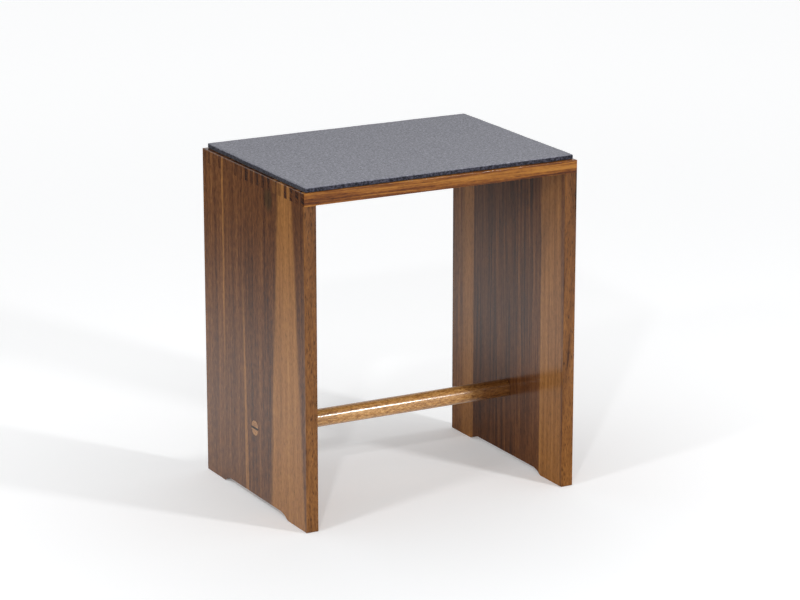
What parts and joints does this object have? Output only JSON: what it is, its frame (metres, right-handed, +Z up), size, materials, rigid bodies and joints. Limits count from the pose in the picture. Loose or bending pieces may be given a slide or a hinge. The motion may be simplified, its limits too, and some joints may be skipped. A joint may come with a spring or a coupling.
{
  "type": "stool",
  "caption": "Low box-shaped wooden stool with finger-jointed corners, a round crossbar held by wedged through tenons and a loose felt seat pad.",
  "frame": {"origin": "middle of the footprint, on the floor", "axes": "+X along the seat's length, +Y to the back, +Z up"},
  "size_m": [0.395, 0.295, 0.4495],
  "materials": {
    "walnut_dark": "satin clear lacquer",
    "walnut_light": "satin clear lacquer",
    "crossbar_wood": "satin clear lacquer",
    "wedge_wood": "satin clear lacquer",
    "felt": "dense mottled wool felt"
  },
  "bodies": {
    "frame": {"left_side_stave_1": "walnut_light", "left_side_stave_2": "walnut_light", "left_side_stave_3": "walnut_dark", "left_side_stave_4": "walnut_dark", "left_side_stave_5": "walnut_dark", "right_side_stave_1": "walnut_light", "right_side_stave_2": "walnut_dark", "right_side_stave_3": "walnut_dark", "right_side_stave_4": "walnut_dark", "right_side_stave_5": "walnut_light", "seat_stave_1": "walnut_light", "seat_stave_2": "walnut_dark", "seat_stave_3": "walnut_dark", "seat_stave_4": "walnut_light", "seat_stave_5": "walnut_dark", "crossbar": "crossbar_wood", "left_wedge": "wedge_wood", "right_wedge": "wedge_wood"},
    "pad": {"seat_pad": "felt"}
  },
  "joints": [
    {"name": "pad_lift", "type": "slide", "parent": "frame", "child": "pad", "axis": [0, 0, 1], "range_m": [0, 0.08]}
  ]
}
